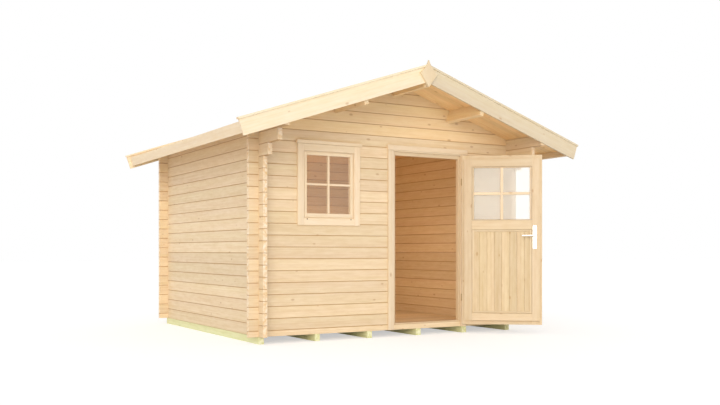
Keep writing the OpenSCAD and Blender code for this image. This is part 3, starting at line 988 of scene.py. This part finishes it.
@dataclass
class Doorway:
    """Door frame with its casing boards and the trim over them."""

    lot: Lot
    fitter: Fitter
    x: float = DOOR_X
    clear: Triple = (406.0, 67.0, 1808.0)
    frame_out: Triple = (446.0, 57.4, 1880.6)
    frame_y: Pair = LOG_Y
    casing: Pair = (431.0, 499.0)
    casing_y: Pair = (-22.0, OFF_WALL)
    head: Pair = (1847.0, 1857.0)
    trim: Triple = (510.0, 1857.4, 1912.0)
    trim_y: Pair = (-30.0, OFF_WALL)

    def build(self) -> None:
        """Builds the door frame and its boards."""
        lot, fit, x = self.lot, self.fitter.fit, self.x
        boards = lot.ring("frame", x, self.clear, self.frame_out, self.frame_y, ease_mm=1.5)
        fit(Bench.join("door_frame_boards", boards), "joinery", "joinery_pine", ("door_frame",))
        (front, back), (under, over) = self.casing_y, self.head
        boards = []
        for side in (-1, 1):
            a, b = sorted(x + side * half for half in self.casing)
            boards.append(lot.board("casing", (a, front, SEAM), (b, back, over), Grain.Z, ease_mm=3.0))
        half = self.casing[0] - SEAM
        ends = (x - half, front, under), (x + half, back, over)
        boards.append(lot.board("head", *ends, Grain.X, ease_mm=2.0))
        (half, low, high), (front, back) = self.trim, self.trim_y
        boards.append(lot.board("trim", (x - half, front, low), (x + half, back, high), Grain.X, ease_mm=4.0))
        fit(Bench.join("door_casing_boards", boards), "casings, with painted light on joinery", "trim_pine", ("door_casing",))


@dataclass
class DoorLeaf:
    """Half-glazed leaf with a lip round it: stiles, rails, panel, beads and bars, built closed and swung."""

    lot: Lot
    fitter: Fitter
    x: float = DOOR_X
    lip: tuple[float, ...] = (424.0, 29.0, 1840.0, -23.0, -6.0)
    core: tuple[float, ...] = (399.0, 74.0, 1801.0, -6.0, 22.0)
    stile: float = 317.0
    bottom: float = 150.0
    middle: Pair = (1045.0, 1145.0)
    top: float = 1719.0
    axis: Pair = (841.5, -31.5)
    open_deg: float = 141.0
    panel_boards: int = 8
    panel_y: Pair = (-10.5, 9.5)
    panel_gap: float = 0.6
    panel_joint: float = 3.0
    panel_bead: Triple = (22.0, 22.0, 22.0)
    panel_bead_faces: tuple[Pair, Pair] = ((-19.0, -10.7), (9.7, 18.0))
    pane_bead: Triple = (22.0, 8.0, 12.0)
    pane_bead_faces: tuple[Pair, Pair] = ((-14.0, -2.7), (1.7, 16.0))
    bead_joint: float = 2.0
    bar_w: float = 28.0
    bar_faces: tuple[Pair, Pair] = ((-15.0, -2.7), (1.7, 14.0))

    @property
    def inside(self) -> float:
        """Gives half the width between the stiles, less a seam."""
        return self.stile - SEAM

    def swing(self, piece: Piece) -> Piece:
        """Turns a piece of the closed door about the hinge pins to where it stands."""
        pin = Matrix.Translation(self.lot.site.at(*self.axis, 0))
        Bench.move(piece, pin @ Matrix.Rotation(math.radians(self.open_deg), 4, "Z") @ pin.inverted())
        return piece

    def build(self) -> None:
        """Builds the leaf's timber."""
        for name, finish, parts, nodes in (
            ("door_leaf_stiles", "joinery", self._stiles(), ("door_stiles",)),
            ("door_leaf_rails", "joinery", self._rails(), ("door_rails",)),
            ("door_leaf_boards", "panel boards", [self._panel()], ("door_panel",)),
            ("door_leaf_beads", "joinery", self._beads(), ()),
            # The glazing bars take the paler casing finish: painted light
            ("door_leaf_bars", "casings, with painted light on joinery", self._bars(), ()),
        ):
            piece = self.swing(Bench.join(name, parts))
            self.fitter.fit(piece, finish, "joinery_pine", nodes, "door")

    def _stiles(self) -> list[Piece]:
        """Makes both stiles, each a core with the lip in front of it."""
        stiles = []
        for half, low, high, front, back in (self.lip, self.core):
            for side in (-1, 1):
                a, b = sorted((self.x + side * self.stile, self.x + side * half))
                stiles.append(self.lot.board("stile", (a, front, low), (b, back, high), Grain.Z, ease_mm=1.5))
        return stiles

    def _rails(self) -> list[Piece]:
        """Makes the bottom, middle and top rail."""
        a, b = self.x - self.inside, self.x + self.inside
        (low, high), front, back = self.middle, self.lip[3], self.core[4]
        rails = [self.lot.board("rail", (a, front, low), (b, back, high), Grain.X, ease_mm=1.5)]
        for _, low, high, front, back in (self.lip, self.core):
            for foot, head in ((low, self.bottom), (self.top, high)):
                rails.append(self.lot.board("rail", (a, front, foot), (b, back, head), Grain.X, ease_mm=1.5))
        return rails

    def _panel(self) -> Piece:
        """Makes the lower panel of upright tongued boards with V joints on both faces."""
        a, pitch = self.x - self.inside, 2 * self.inside / self.panel_boards
        low, high = self.bottom + SEAM, self.middle[0] - SEAM
        at, (front, back) = self.lot.site.at, self.panel_y
        board = Bench.block("panel", at(a, front, low), at(a + pitch - self.panel_gap, back, high))
        Bench.ease(board, self.panel_joint * MM, 1, lambda middle, way: abs(way.z) > STRAIGHT)
        Bench.repeat(board, self.panel_boards, Vector((pitch * MM, 0, 0)))
        self.lot.mark(board, Vector((0, 0, 1)), Vector((1, 0, 0)), pitch * MM)
        return board

    def _beads(self) -> list[Piece]:
        """Makes the beads that hold panel and pane on both faces."""
        beads = []
        for low, high, (width, foot, head), both in (
            (self.bottom + SEAM, self.middle[0] - SEAM, self.panel_bead, self.panel_bead_faces),
            (self.middle[1] + SEAM, self.top - SEAM, self.pane_bead, self.pane_bead_faces),
        ):
            inner = (self.inside - width, low + foot, high - head)
            # A narrow shadow joint is left round the bead, as between two planed edges
            outer = (self.inside - self.bead_joint, low + self.bead_joint, high - self.bead_joint)
            for faces in both:
                beads += self.lot.ring("bead", self.x, inner, outer, faces, ease_mm=3.5)
        return beads

    def _bars(self) -> list[Piece]:
        """Makes the glazing bars between the pane's beads."""
        width, foot, head = self.pane_bead
        pane = (self.inside - width, self.middle[1] + foot, self.top - head)
        return self.lot.cross(self.x, pane, self.bar_w, self.bar_faces)


@dataclass
class DoorFurniture:
    """Lever handles on long lock plates, and the hinges' caps; round pieces have a radius and a rise."""

    leaf: DoorLeaf
    lock_x: float = 69.0
    faces: tuple[tuple[float, float, int], ...] = ((-29.2, -23.2, -1), (22.2, 28.2, 1))
    plate: Triple = (22.0, 838.0, 1088.0)
    plate_corner: float = 9.0
    plate_edge: float = 1.8
    facets: int = 4
    lever_z: float = 980.0
    lever_l: float = 145.0
    lever_r: float = 8.0
    lever_reach: float = 39.0
    lever_round: float = 0.7
    collar: Pair = (13.0, 6.0)
    key_drop: float = 72.0
    key: Pair = (9.0, 5.0)
    screw_in: float = 16.0
    screw: Pair = (4.5, 1.6)
    hinge_z: Pair = (317.0, 1560.0)
    knuckle: float = 32.0
    cap: Pair = (6.0, 5.0)

    def build(self) -> None:
        """Builds the furniture and hangs it on the door."""
        fit, swing = self.leaf.fitter.fit, self.leaf.swing
        plates, levers = [], []
        for front, back, side in self.faces:
            plates += self._plate(front, back, side)
            levers += self._lever(front if side < 0 else back, side)
        fit(swing(Bench.join("lock_plate_pair", plates)), "handles", "handle_steel", ("lock_plates",), "door")
        fit(swing(Bench.join("lever_pair", levers)), "handles", "handle_steel", ("lever_handle",), "handle")
        caps = [self._cap(z + self.knuckle, 1) for z in self.hinge_z]
        fit(swing(Bench.join("hinge_caps_door", caps)), "hinges", "hinge_steel", (), "door")
        caps = [self._cap(z - self.knuckle, -1) for z in self.hinge_z]
        fit(Bench.join("hinge_caps_frame", caps), "hinges", "hinge_steel")

    def _disc(self, name: str, foot: Triple, size: Pair, way: Vector) -> Piece:
        """Turns a round piece on a point of the closed door."""
        radius, rise = (s * MM for s in size)
        return Bench.disc(name, self.leaf.lot.site.at(*foot), radius, rise, way)

    def _plate(self, front: float, back: float, side: int) -> list[Piece]:
        """Makes one lock plate with rounded corners, its key cylinder and two screws."""
        at, x = self.leaf.lot.site.at, self.lock_x
        half, low, high = self.plate
        plate = Bench.block("plate", at(x - half, front, low), at(x + half, back, high))
        Bench.ease(plate, self.plate_corner * MM, self.facets, lambda middle, way: abs(way.y) > STRAIGHT)
        y, out = (front if side < 0 else back), Vector((0, side, 0))
        face = at(x, y, low).y
        Bench.ease(
            plate,
            self.plate_edge * MM,
            wanted=lambda middle, way: abs(middle.y - face) < HAIR and abs(way.y) < STRAIGHT,
        )
        return [
            plate,
            self._disc("key_cylinder", (x, y, self.lever_z - self.key_drop), self.key, out),
            self._disc("screw", (x, y, low + self.screw_in), self.screw, out),
            self._disc("screw", (x, y, high - self.screw_in), self.screw, out),
        ]

    def _lever(self, y: float, side: int) -> list[Piece]:
        """Makes one lever: a collar, a neck and a rounded bar towards the hinges."""
        at, x, z, r = self.leaf.lot.site.at, self.lock_x, self.lever_z, self.lever_r
        out, foot = Vector((0, side, 0)), (x, y + side * SEAM, z)
        neck = self._disc("neck", foot, (r, self.lever_reach), out)
        collar = self._disc("collar", foot, self.collar, out)
        far = y + side * self.lever_reach
        bar = Bench.block("bar", at(x - r, far - r, z - r), at(x + self.lever_l - r, far + r, z + r))
        Bench.ease(bar, self.lever_round * r * MM, self.facets)
        return [bar, neck, collar]

    def _cap(self, z: float, side: int) -> Piece:
        """Makes the rounded cap on a hinge knuckle's end."""
        return self._disc("cap", (*self.leaf.axis, z), self.cap, Vector((0, 0, side)))


def stock_finishes(yard: Timberyard) -> None:
    """Makes every finish of the house.

    Args:
        yard: where the finishes are kept.
    """
    stock = yard.stock
    log = {"pale": "#f1dfc3", "streak": "#dfc79f", "knot": "#a9763f", "end": "#e8c898"}
    trim = {"pale": "#f6ead2", "streak": "#eddab6", "knot": "#b08048", "end": "#e6c9a0"}
    joinery = {"pale": "#e5d4b8", "streak": "#d7c09b", "knot": "#a9763f", "end": "#e2c298"}
    green = {"pale": "#f0f2ca", "streak": "#dadca2", "knot": "#7d7440", "end": "#d3d596"}
    front = {"row_mm": ROW_MM, "row_start_mm": 127.0}
    side = {"row_mm": ROW_MM, "row_start_mm": 70.0}
    stock("front logs", Pine("planed spruce logs, front and back", grain=Grain.X, seed=3.37, **log, **front))
    stock("side logs", Pine("planed spruce logs, sides", grain=Grain.Y, seed=11.37, **log, **side))
    beam = {**log, "pale": "#f8e2bc", "streak": "#eccc98"}
    stock("beams", Pine("planed spruce beams", grain=Grain.Y, torn="#f0dcba", **beam))
    eave = {**trim, "pale": "#f7e6cc", "streak": "#edd6b2"}
    stock("long trim", Pine("planed pine trim, front to back", grain=Grain.Y, **eave))
    barge = {**trim, "pale": "#efe3cc", "streak": "#e6d4b1"}
    stock("roof trim", Pine("planed pine trim, down the slope", grain=Grain.SLOPE, tone_range=0.2, **barge))
    plate = {**trim, "pale": "#ecdcbf", "streak": "#e2cda7"}
    stock("upright trim", Pine("planed pine plates", grain=Grain.Z, **plate))
    stock("joists", Pine("pressure treated pine", grain=Grain.Y, torn="#f2f4d4", **green))
    # The gables take the log colour made paler and warmer: painted light where the roof's overhang shades them
    gable = {**log, "pale": "#f9e4bf", "streak": "#ecd09f"}
    stock("gable logs, painted light", Pine("planed spruce logs, gables, painted light", grain=Grain.X, seed=3.37, **gable, **front))
    floor = {**log, "pale": "#f3e4ca", "streak": "#e3ceaa"}
    stock("floor boards", Pine("planed spruce floor boards", grain=Grain.BOARD, tone_range=0.14, **floor))
    roof = {**log, "pale": "#fadcac", "streak": "#e8c186"}
    stock("roof boards", Pine("planed spruce roof boards", grain=Grain.BOARD, tone_range=0.16, **roof))
    # The casing finish also goes on the window's frame and sash and the door's bars, where its paler colour is
    # painted light
    casing = {**trim, "pale": "#f2e2ca", "streak": "#e7d2b0"}
    stock("casings, with painted light on joinery", Pine("planed pine casings", grain=Grain.BOARD, knot_share=0.35, **casing))
    stock("joinery", Pine("planed pine joinery", grain=Grain.BOARD, knot_share=0.35, **joinery))
    panel = {**joinery, "pale": "#e4d2b3", "streak": "#d0b88f"}
    stock("panel boards", Pine("planed pine panel boards", grain=Grain.BOARD, knot_share=0.35, **panel))
    # The door's pane gets a stronger veil of painted reflection than the window's
    stock("panes", Glass("clear float glass", "#f4f8f6", 0.07))
    stock("door pane", Glass("clear float glass, door, strong painted reflection", "#f6f8f6", 0.3))
    stock("hinges", Steel("yellow zinc plated steel", "#d2bd90", "#a8946a", 0.55, 0.6))
    stock("screws", Steel("browned steel", "#6e5a40", "#483a28", 0.5))
    stock("handles", Steel("satin stainless steel", "#f0efec", "#dcdad6", 0.3))


def main() -> None:
    """Loads the frame, dresses the solids, builds the modelled pieces and sets the stage."""
    logging.basicConfig(level=logging.INFO, format="%(message)s")
    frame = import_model()
    yard = Timberyard(frame)
    stock_finishes(yard)
    yard.dress("front logs", "front_sill_log", "front_wall_low", "front_wall_top", "back_wall")
    yard.dress("front logs", "front_wall_window_left", "front_wall_window_right", "front_wall_right")
    # Painted light: the gables get the paler copy of the log finish
    yard.dress("gable logs, painted light", "front_gable", "back_gable")
    yard.dress("side logs", "left_wall", "right_wall")
    yard.dress("beams", "ridge_purlin", "left_purlin", "right_purlin")
    yard.dress("joists", *[f"joist_{n}" for n in range(1, 7)])
    yard.dress("long trim", "left_fascia", "right_fascia")
    yard.dress("roof trim", "front_barges", "back_barges", "front_cover_strips", "back_cover_strips")
    yard.dress("upright trim", "front_ridge_plate", "back_ridge_plate")
    yard.dress("panes", "window_glass")
    yard.dress("door pane", "door_glass")
    yard.dress("hinges", "frame_hinges", "door_hinges")
    site = Site(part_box("front_sill_log")[0].y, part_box("joist_1")[1].z)
    lot, fitter = Lot(site, seed=7), Fitter(yard)
    leaf = DoorLeaf(lot, fitter)
    parts = [sort(lot, fitter) for sort in (RoofDeck, FloorDeck, Window, Doorway)]
    for part in (*parts, leaf, DoorFurniture(leaf), Studio()):
        part.build()


if __name__ == "__main__":
    main()
